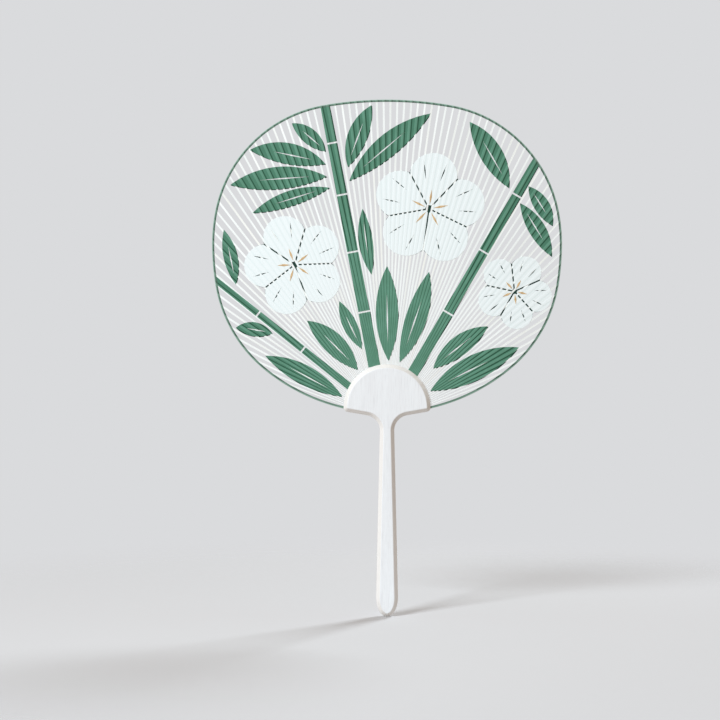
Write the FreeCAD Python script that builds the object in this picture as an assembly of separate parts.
"""A round openwork hand fan: a leaf of bamboo ribs between cut papers, seated in a slotted wooden handle.

The fan stands upright: +Z runs up the handle, the leaf lies in the XZ plane and its front looks along -Y.
The origin is on the handle's axis where a hand or a stand grips it.  All sizes are in millimetres.
"""
import FreeCAD, Part
import math
import os

# Handle
GRIP_TO_HEAD = 88.0  # grip centre up to the centre of the head's half disc
GRIP_TO_END = 61.0  # grip centre down to the tip of the handle
HANDLE_THICKNESS = 9.0
HEAD_RADIUS = 31.0
HEAD_SKIRT = 2.5  # straight side below the half disc
HEAD_CORNER_ROUND = 3.2
UNDERSIDE_SLOPE = 10.0  # degrees, the head's underside falling towards the neck
ARCH_RADIUS = 11.0  # hollow curve from the underside into the neck
NECK_WIDTH = 9.8
BUTT_WIDTH = 15.6  # widest part of the grip, near its end
BUTT_HEIGHT = 13.6  # from the widest part down to the tip
EDGE_BEVEL = 2.8  # flat bevel along every edge of the front and the back
SLOT_FLOOR = -1.2  # bottom of the saw cut, from the head's centre
SLOT_CLEARANCE = 0.05  # each side of the leaf's root

# Outline of the leaf: tangent arcs from the top to the widest line and on to the root
LEAF_WIDTH = 250.0
CROWN_HEIGHT = 103.0  # widest line up to the top
ROOT_DEPTH = 121.2  # widest line down to where the two lower edges would meet
ROOT_SEAT = 4.2  # from the head's centre down to where they would meet
WIDEST_ABOVE_HEAD = ROOT_DEPTH - ROOT_SEAT
CROWN_SHOULDER_RADIUS = 95.5
CROWN_TURN = 10.0  # degrees from straight up to the end of the top arc
CROWN_SIDE_TURN = 79.0  # degrees from straight up to the start of the side arc
ROOT_SHOULDER_RADIUS = 98.6
ROOT_TURN = 39.4
ROOT_SIDE_TURN = 80.6

# Ribs
RIB_NODES_PER_SIDE = 15
RIBS_PER_NODE = 3
RIB_CENTRE = -9.7  # point where all ribs aim, from the head's centre
RIB_STEP = 1.24  # degrees between the two middle ribs
OUTER_RIB_RIM_TURN = 33.6  # degrees from straight down to the outermost rib's end, on the root arc
RIB_THICKNESS = 0.6
RIB_WIDTH = 1.3
RIB_ROOT_WIDTH = 0.36
RIB_ROOT_RADIUS = 22.0  # where a rib begins, from the ribs' centre
RIB_FULL_RADIUS = 100.0  # where a rib has reached its full width
RIB_END_CLEARANCE = 0.05

# Papers
PAPER = 0.2
BINDING_LAP = 1.6  # how far the folded edge strip covers the leaf
ROOT_PAPER_RADIUS = 28.0
PAPER_CLEARANCE = 0.3  # between papers that lie side by side
NODE_GAP = 1.3  # open line across a culm at each of its nodes
VEIN_WIDTH = 1.0  # widest part of the slit along a leaf
VEIN_START = 0.16  # ends of that slit, as shares of the leaf's length
VEIN_END = 0.72
PETALS = 5
PETAL_GAP = 1.0  # open line between two petals
PETAL_SHOULDER = 0.74  # where a petal's straight side ends, as a share of its length
PETAL_ROOT = 0.07  # where it begins, as such a share
CREASE_WIDTH = 0.9
CREASE_START = 0.52  # ends of a crease, as such shares
CREASE_END = 0.86
CREASE_TURN = 14.0  # degrees from a petal's middle to each of its two creases
STAMEN_WIDTH = 1.5
STAMEN_START = 0.08  # ends of a stamen, as such shares
STAMEN_END = 0.34

# The picture is drawn from the head's centre for a leaf of this size, and is stretched with the leaf.
PICTURE_WIDTH = 250.0
PICTURE_HEIGHT = 220.0
# Culms: x, z of the two ends, the two widths, and where the nodes are as shares of the length
CULMS = {
    "culms_left": [
        (-9.0, 29.5, -46.0, 224.0, 8.6, 6.6, (0.20, 0.42, 0.63, 0.82)),
        (-26.0, 14.5, -126.0, 94.0, 5.2, 4.2, (0.34, 0.66)),
    ],
    "culm_right": [
        (18.0, 24.0, 116.0, 192.0, 7.8, 6.0, (0.26, 0.52, 0.76)),
    ],
}
# Leaves: x, z of the base and the tip, the width, and the bend to the left of the line between them
LEAVES = {
    "leaves_crown": [
        (-28.0, 172.0, -11.0, 216.0, 14.0, 1.5),
        (-27.0, 162.0, 31.0, 210.0, 16.0, 2.0),
        (-17.5, 142.0, -11.0, 95.0, 10.0, -1.0),
    ],
    "leaves_left": [
        (-44.0, 183.0, -68.0, 203.0, 11.0, -1.0),
        (-44.0, 174.0, -98.0, 184.0, 15.0, -2.5),
        (-43.0, 165.0, -112.0, 159.0, 16.0, -2.0),
        (-41.0, 157.0, -96.0, 139.0, 11.0, -1.5),
    ],
    "leaves_centre": [
        (1.0, 33.5, 0.0, 101.0, 16.0, 0.5),
        (9.0, 32.5, 30.0, 97.0, 15.0, -1.5),
    ],
    "leaves_right": [
        (87.0, 157.0, 59.0, 204.0, 16.0, -1.5),
        (101.0, 158.0, 118.0, 130.0, 11.0, 1.0),
        (95.0, 146.0, 117.5, 108.0, 12.0, 1.0),
    ],
    "leaves_low_right": [
        (31.0, 12.0, 94.0, 43.0, 18.0, 1.0),
        (33.0, 28.0, 72.0, 58.0, 14.0, 1.5),
    ],
    "leaves_low_left": [
        (-32.0, 8.0, -87.0, 37.0, 14.0, -1.0),
        (-21.0, 27.0, -57.0, 62.0, 15.0, -1.5),
        (-18.0, 42.0, -34.0, 76.0, 10.0, 0.5),
        (-82.0, 53.0, -108.0, 57.0, 10.0, -1.0),
        (-108.0, 88.0, -116.5, 127.0, 10.0, -0.5),
    ],
}
# Blossoms: x, z of the centre, the length of a petal, and the turn in degrees
BLOSSOMS = {
    "blossom_large": (30.0, 142.0, 40.0, 8.0),
    "blossom_middle": (-66.0, 102.0, 36.0, -20.0),
    "blossom_small": (91.0, 83.0, 27.0, 30.0),
}

SIDES = {"front": -1, "back": 1}
ALONG_Y = FreeCAD.Vector(0, 1, 0)
POINT_TOLERANCE = 0.001


def point(x, z):
    """A point of the leaf's plane, measured from the centre of the handle's head."""
    return FreeCAD.Vector(x, 0, GRIP_TO_HEAD + z)


def line(start, end):
    return Part.LineSegment(start, end).toShape()


def bulged(start, end, bulge):
    """An arc between two points that stands out to the left of the chord by the bulge."""
    chord = end - start
    left = FreeCAD.Vector(-chord.z, 0, chord.x).normalize()
    return Part.Arc(start, (start + end) / 2 + left * bulge, end).toShape()


def polygon(points):
    return Part.Face(Part.makePolygon(list(points) + [points[0]]))


def plate(face, thickness):
    """A face of the leaf's plane made into a plate with that plane through its middle."""
    return face.translated(ALONG_Y * (-thickness / 2)).extrude(ALONG_Y * thickness)


def layer(face, side, level=0):
    """A sheet of paper on one side of the ribs; level counts the papers beneath it."""
    seat = side * (RIB_THICKNESS / 2 + level * PAPER)
    return face.translated(ALONG_Y * seat).extrude(ALONG_Y * side * PAPER)


def quadrant(height, shoulder_radius, pole_turn, side_turn):
    """Pole, shoulder and side arcs of a quarter outline as (centre x, centre z, radius, from turn, to turn).

    Turns are measured from the pole.  The pole and side radii follow from the half width and the height.
    """
    half = LEAF_WIDTH / 2
    first, last = math.radians(pole_turn), math.radians(side_turn)
    across = half - shoulder_radius * (math.sin(last) - math.sin(first))
    along = height - shoulder_radius * (math.cos(first) - math.cos(last))
    pole_x, side_x = math.sin(first), 1 - math.sin(last)
    pole_z, side_z = 1 - math.cos(first), math.cos(last)
    spread = pole_x * side_z - side_x * pole_z
    pole_radius = (across * side_z - side_x * along) / spread
    side_radius = (pole_x * along - pole_z * across) / spread
    shoulder_x = (pole_radius - shoulder_radius) * math.sin(first)
    shoulder_z = height - pole_radius + (pole_radius - shoulder_radius) * math.cos(first)
    return [
        (0.0, height - pole_radius, pole_radius, 0.0, first),
        (shoulder_x, shoulder_z, shoulder_radius, first, last),
        (half - side_radius, 0.0, side_radius, last, math.pi / 2),
    ]


def quarter_edges(arcs, across, up, inset):
    """One quarter of the outline, mirrored by the signs across and up, drawn in by the inset."""
    edges = []
    for x, z, radius, first, last in arcs:
        ends = [
            point(
                across * (x + (radius - inset) * math.sin(turn)),
                WIDEST_ABOVE_HEAD + up * (z + (radius - inset) * math.cos(turn)),
            )
            for turn in (first, (first + last) / 2, last)
        ]
        edges.append(Part.Arc(*ends).toShape())
    return edges


def crown_arcs():
    """The quarter outline from the top to the widest line."""
    return quadrant(CROWN_HEIGHT, CROWN_SHOULDER_RADIUS, CROWN_TURN, CROWN_SIDE_TURN)


def root_arcs():
    """The quarter outline from the root to the widest line."""
    return quadrant(ROOT_DEPTH, ROOT_SHOULDER_RADIUS, ROOT_TURN, ROOT_SIDE_TURN)


def leaf_face(inset=0.0):
    """The leaf's outline, drawn in evenly by the inset, as a face."""
    edges = []
    for across in (1, -1):
        edges += quarter_edges(crown_arcs(), across, 1, inset)
        edges += quarter_edges(root_arcs(), across, -1, inset)
    return Part.Face(Part.Wire(Part.__sortEdges__(edges)))


def above_slot_floor():
    """A block that holds all of the leaf's plane above the floor of the saw cut, with room to spare."""
    floor = SLOT_FLOOR + PAPER_CLEARANCE
    corner = point(-LEAF_WIDTH, floor) - ALONG_Y * HANDLE_THICKNESS
    reach = 2 * (WIDEST_ABOVE_HEAD + CROWN_HEIGHT)
    return Part.makeBox(2 * LEAF_WIDTH, 2 * HANDLE_THICKNESS, reach, corner)


def neck_height():
    """Where the line of the head's underside meets the side of the neck, from the head's centre."""
    return -HEAD_SKIRT - (HEAD_RADIUS - NECK_WIDTH / 2) * math.tan(math.radians(UNDERSIDE_SLOPE))


def handle_profile():
    """Half disc, underside, grip and rounded tip of the handle, seen from the front."""
    neck, butt = NECK_WIDTH / 2, BUTT_WIDTH / 2
    neck_z = neck_height()
    butt_z = BUTT_HEIGHT - GRIP_TO_END - GRIP_TO_HEAD
    half_z = (neck_z + butt_z) / 2
    half_x = butt - (butt - neck) / 4
    edges = [Part.Arc(point(-HEAD_RADIUS, 0), point(0, HEAD_RADIUS), point(HEAD_RADIUS, 0)).toShape()]
    for across in (-1, 1):
        shoulder = point(across * HEAD_RADIUS, -HEAD_SKIRT)
        neck_top = point(across * neck, neck_z)
        edges.append(line(point(across * HEAD_RADIUS, 0), shoulder))
        edges.append(line(shoulder, neck_top))
        flare = Part.Arc(neck_top, point(across * half_x, half_z), point(across * butt, butt_z))
        edges.append(flare.toShape())
    tip = Part.Ellipse(point(0, butt_z - BUTT_HEIGHT), point(butt, butt_z), point(0, butt_z))
    corner = point(-butt, butt_z - BUTT_HEIGHT) - ALONG_Y
    edges += tip.toShape().common(Part.makeBox(BUTT_WIDTH, 2, BUTT_HEIGHT, corner)).Edges
    return Part.Face(Part.Wire(Part.__sortEdges__(edges)))


def edges_at(solid, x, z):
    """The edges that run straight through a plate at a corner of its outline and at that corner's mirror."""
    corner = point(x, z)
    return [
        edge
        for edge in solid.Edges
        if all(math.hypot(abs(v.X) - corner.x, v.Z - corner.z) < POINT_TOLERANCE for v in edge.Vertexes)
    ]


def slot_width():
    return RIB_THICKNESS + 2 * PAPER + 2 * SLOT_CLEARANCE


def handle():
    """The carved handle: bevelled all round, with a saw cut in its head for the leaf."""
    body = plate(handle_profile(), HANDLE_THICKNESS)
    body = body.makeFillet(ARCH_RADIUS, edges_at(body, NECK_WIDTH / 2, neck_height()))
    body = body.makeFillet(HEAD_CORNER_ROUND, edges_at(body, HEAD_RADIUS, -HEAD_SKIRT))
    faces = [f for f in body.Faces if abs(f.normalAt(0, 0).y) > 0.99]
    body = body.makeChamfer(EDGE_BEVEL, [edge for face in faces for edge in face.Edges])
    cut = Part.makeBox(
        3 * HEAD_RADIUS,
        slot_width(),
        2 * HEAD_RADIUS,
        point(-1.5 * HEAD_RADIUS, SLOT_FLOOR) - ALONG_Y * (slot_width() / 2),
    )
    return body.cut(cut)


def outer_rib_turn():
    """Angle of the outermost rib from straight up, in degrees: its end lies on the leaf's root arc."""
    x, z, radius = root_arcs()[0][:3]
    turn = math.radians(OUTER_RIB_RIM_TURN)
    out = x + radius * math.sin(turn)
    up = WIDEST_ABOVE_HEAD - (z + radius * math.cos(turn)) - RIB_CENTRE
    return math.degrees(math.atan2(out, up))


def rib_turn(number):
    """Angle of a rib from straight up, in degrees: the step between ribs grows towards the sides."""
    last = RIB_NODES_PER_SIDE * RIBS_PER_NODE - 0.5
    growth = (outer_rib_turn() - RIB_STEP * last) / last**3
    return RIB_STEP * number + growth * number**3


def rib(number):
    """One rib, numbered outwards from the middle: it widens from its root and then runs even past the rim."""
    turn = math.radians(rib_turn(number))
    out = FreeCAD.Vector(math.sin(turn), 0, math.cos(turn))
    side = FreeCAD.Vector(math.cos(turn), 0, -math.sin(turn))
    centre = point(0, RIB_CENTRE)
    reach = WIDEST_ABOVE_HEAD + CROWN_HEIGHT + LEAF_WIDTH / 2
    stations = [
        (RIB_ROOT_RADIUS, RIB_ROOT_WIDTH / 2),
        (RIB_FULL_RADIUS, RIB_WIDTH / 2),
        (reach, RIB_WIDTH / 2),
    ]
    right = [centre + out * radius + side * half for radius, half in stations]
    left = [centre + out * radius - side * half for radius, half in reversed(stations)]
    return plate(polygon(right + left), RIB_THICKNESS)


def rib_nodes():
    """All ribs, trimmed to the outline, three neighbours to a node."""
    room = plate(leaf_face(PAPER + RIB_END_CLEARANCE), RIB_THICKNESS).common(above_slot_floor())
    nodes = {}
    for across, name in ((-1, "left"), (1, "right")):
        for group in range(RIB_NODES_PER_SIDE):
            numbers = [across * (group * RIBS_PER_NODE + k + 0.5) for k in range(RIBS_PER_NODE)]
            solids = [rib(number).common(room).Solids[0] for number in numbers]
            nodes[f"ribs_{name}_{group + 1:02d}"] = Part.makeCompound(solids)
    return nodes


def edge_binding():
    """A strip of paper folded over the rim, from one side of the handle's head round to the other."""
    lap = leaf_face().cut(leaf_face(BINDING_LAP))
    fold = plate(leaf_face().cut(leaf_face(PAPER)), RIB_THICKNESS)
    strip = fold.fuse([layer(lap, side) for side in SIDES.values()]).removeSplitter()
    return strip.common(above_slot_floor()).cut(root_disc(ROOT_PAPER_RADIUS + PAPER_CLEARANCE))


def root_disc(radius):
    """A block in the shape of the head's half disc, wide enough to cut every layer of the leaf."""
    near = point(0, 0) - ALONG_Y * (HANDLE_THICKNESS / 2)
    return Part.makeCylinder(radius, HANDLE_THICKNESS, near, ALONG_Y)


def root_paper(side):
    """A half disc of paper that ties the rib roots together inside the saw cut."""
    disc = Part.Face(Part.Wire(Part.makeCircle(ROOT_PAPER_RADIUS, point(0, 0), ALONG_Y)))
    return layer(disc, side).common(above_slot_floor())


def picture_area():
    """The part of the leaf that cut papers may cover: inside the edge strip and outside the root papers."""
    area = leaf_face(BINDING_LAP + PAPER_CLEARANCE).common(above_slot_floor())
    return area.cut(root_disc(ROOT_PAPER_RADIUS + PAPER_CLEARANCE))


def stretch():
    """How far the leaf is stretched from the one that the picture was drawn for, across and up."""
    return LEAF_WIDTH / PICTURE_WIDTH, (WIDEST_ABOVE_HEAD + CROWN_HEIGHT) / PICTURE_HEIGHT


def spot(x, z):
    """A point of the picture on the stretched leaf."""
    across, up = stretch()
    return point(x * across, z * up)


def drawn(size):
    """A width or a length of the picture, stretched by the lesser amount so that neighbours stay apart."""
    return size * min(stretch())


def culm_faces(x0, z0, x1, z1, width, end_width, nodes):
    """The lengths of a bamboo culm, parted by an open line at each node."""
    width, end_width = drawn(width), drawn(end_width)
    start, run = spot(x0, z0), spot(x1, z1) - spot(x0, z0)
    left = FreeCAD.Vector(-run.z, 0, run.x).normalize()
    gap = NODE_GAP / run.Length / 2
    faces = []
    for first, last in zip((0.0, *nodes), (*nodes, 1.0)):
        first += gap if first else 0
        last -= gap if last < 1 else 0
        low, high = start + run * first, start + run * last
        at_low, at_high = [left * (width + (end_width - width) * share) / 2 for share in (first, last)]
        faces.append(polygon([low + at_low, low - at_low, high - at_high, high + at_high]))
    return faces


def slit(start, end, width):
    """A thin pointed slit, widest at its middle."""
    side = FreeCAD.Vector(start.z - end.z, 0, end.x - start.x).normalize() * (width / 2)
    middle = (start + end) / 2
    return polygon([start, middle - side, end, middle + side])


def leaf_blade(x0, z0, x1, z1, width, bend):
    """A pointed leaf between two arcs, with a slit along its middle vein."""
    base, tip = spot(x0, z0), spot(x1, z1)
    width, bend = drawn(width), drawn(bend)
    sides = [bulged(base, tip, bend + width / 2), bulged(base, tip, bend - width / 2)]
    blade = Part.Face(Part.Wire(Part.__sortEdges__(sides)))
    run = tip - base
    left = FreeCAD.Vector(-run.z, 0, run.x).normalize()

    def vein(share):
        return base + run * share + left * (4 * bend * share * (1 - share))

    return blade.cut(slit(vein(VEIN_START), vein(VEIN_END), VEIN_WIDTH))


def petal_point(blossom, petal, share, degrees=0.0, aside=0.0):
    """A point of a petal: a share of its length out from the blossom's centre, turned from its middle."""
    x, z, length, turn = blossom
    angle = math.radians(turn + 360.0 / PETALS * petal + degrees)
    out = FreeCAD.Vector(math.sin(angle), 0, math.cos(angle))
    across = FreeCAD.Vector(math.cos(angle), 0, -math.sin(angle))
    return spot(x, z) + out * (share * drawn(length)) + across * aside


def petal_faces(blossom):
    """The petals of a blossom seen from the front, each with a round tip and two creases."""
    half_turn = 180.0 / PETALS
    faces = []
    for k in range(PETALS):
        left, right = [
            [petal_point(blossom, k, share, -side * half_turn, side * PETAL_GAP / 2)
             for share in (PETAL_ROOT, PETAL_SHOULDER)]
            for side in (1, -1)
        ]
        edges = [
            line(right[0], left[0]),
            line(left[0], left[1]),
            Part.Arc(left[1], petal_point(blossom, k, 1.0), right[1]).toShape(),
            line(right[1], right[0]),
        ]
        creases = [
            slit(*[petal_point(blossom, k, s, turn) for s in (CREASE_START, CREASE_END)], CREASE_WIDTH)
            for turn in (-CREASE_TURN, CREASE_TURN)
        ]
        faces.append(Part.Face(Part.Wire(edges)).cut(creases))
    return faces


def backing_face(blossom):
    """The one sheet behind a blossom: its outline without gaps or creases."""
    half_turn = 180.0 / PETALS
    edges = []
    for k in range(PETALS):
        left, right = [petal_point(blossom, k, PETAL_SHOULDER, turn) for turn in (-half_turn, half_turn)]
        edges.append(Part.Arc(left, petal_point(blossom, k, 1.0), right).toShape())
    return Part.Face(Part.Wire(edges))


def stamen_faces(blossom):
    """Slender stamens that lie on the petals, one to each."""
    return [
        slit(*[petal_point(blossom, k, share) for share in (STAMEN_START, STAMEN_END)], STAMEN_WIDTH)
        for k in range(PETALS)
    ]


def papers(faces, side, area, level=0):
    """Cut papers, trimmed to the picture's area, as separate sheets on one side of the ribs."""
    return Part.makeCompound([layer(face.common(area), side, level) for face in faces])


def picture_nodes():
    """The cut papers on the front and, in mirror image, on the back, where a blossom is one plain sheet."""
    area = picture_area()
    nodes = {}
    for name, side in SIDES.items():
        for culm, lengths in CULMS.items():
            faces = [face for length in lengths for face in culm_faces(*length)]
            nodes[f"{name}_{culm}"] = papers(faces, side, area)
        for spray, blades in LEAVES.items():
            nodes[f"{name}_{spray}"] = papers([leaf_blade(*blade) for blade in blades], side, area)
        for blossom, place in BLOSSOMS.items():
            faces = petal_faces(place) if name == "front" else [backing_face(place)]
            nodes[f"{name}_{blossom}"] = papers(faces, side, area)
        stamens = [face for place in BLOSSOMS.values() for face in stamen_faces(place)]
        nodes[f"{name}_stamens"] = papers(stamens, side, area, 1)
    return nodes


def main():
    nodes = {"handle": handle(), "edge_binding": edge_binding()}
    for name, side in SIDES.items():
        nodes[f"root_paper_{name}"] = root_paper(side)
    nodes.update(rib_nodes())
    nodes.update(picture_nodes())
    os.makedirs("parts", exist_ok=True)
    for name, shape in nodes.items():
        shape.exportStep(f"parts/{name}.step")
        print(name, len(shape.Solids), "solids", round(shape.Volume, 2), "mm3", shape.isValid())


main()
